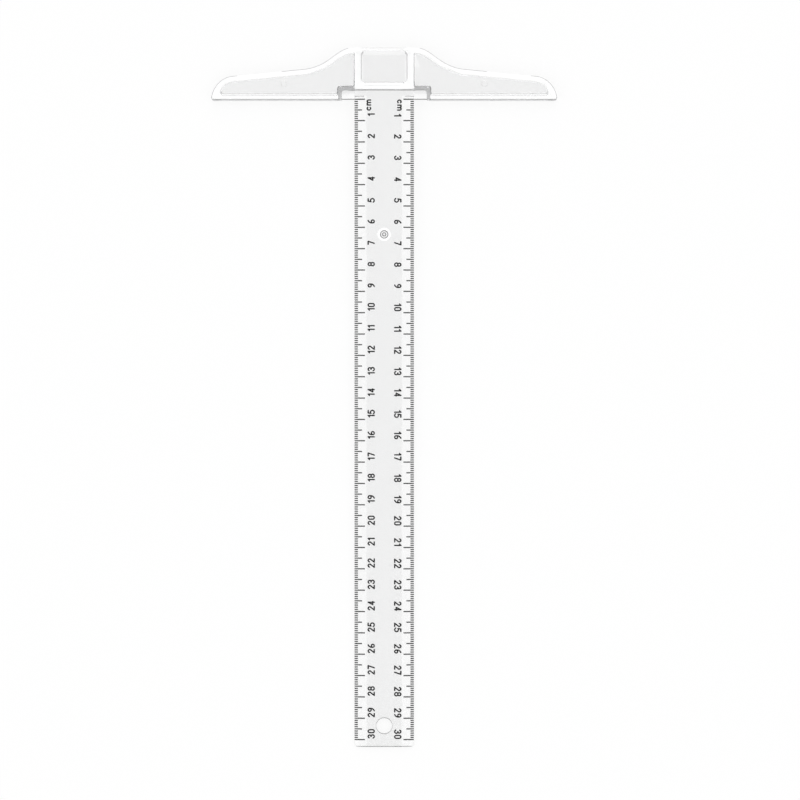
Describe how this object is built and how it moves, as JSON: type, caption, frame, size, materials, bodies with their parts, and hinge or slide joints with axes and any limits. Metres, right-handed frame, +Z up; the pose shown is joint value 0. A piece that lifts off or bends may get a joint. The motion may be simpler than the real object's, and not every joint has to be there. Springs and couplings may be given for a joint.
{
  "type": "t square",
  "caption": "Small clear plastic T square: a bevelled blade with a centimetre scale printed along both edges, bonded into a hollow-backed head that hooks on a drawing board's edge.",
  "frame": {"origin": "where the zero line of the scale crosses the blade's centreline, on the blade's underside (the face that lies on the paper)", "axes": "+X to the right along the head's working edge, +Y from the zero line back into the head (the blade runs to -Y), +Z up out of the paper"},
  "size_m": [0.162, 0.3278, 0.0072],
  "materials": {
    "clear_plastic": "clear, polished, uncoloured",
    "black_print": "matt black printing ink"
  },
  "bodies": {
    "root": {"blade": "clear_plastic", "head": "clear_plastic", "division_lines_left": "black_print", "division_lines_right": "black_print", "numbers_left": "black_print", "numbers_right": "black_print", "unit_mark_left": "black_print", "unit_mark_right": "black_print"}
  },
  "joints": []
}
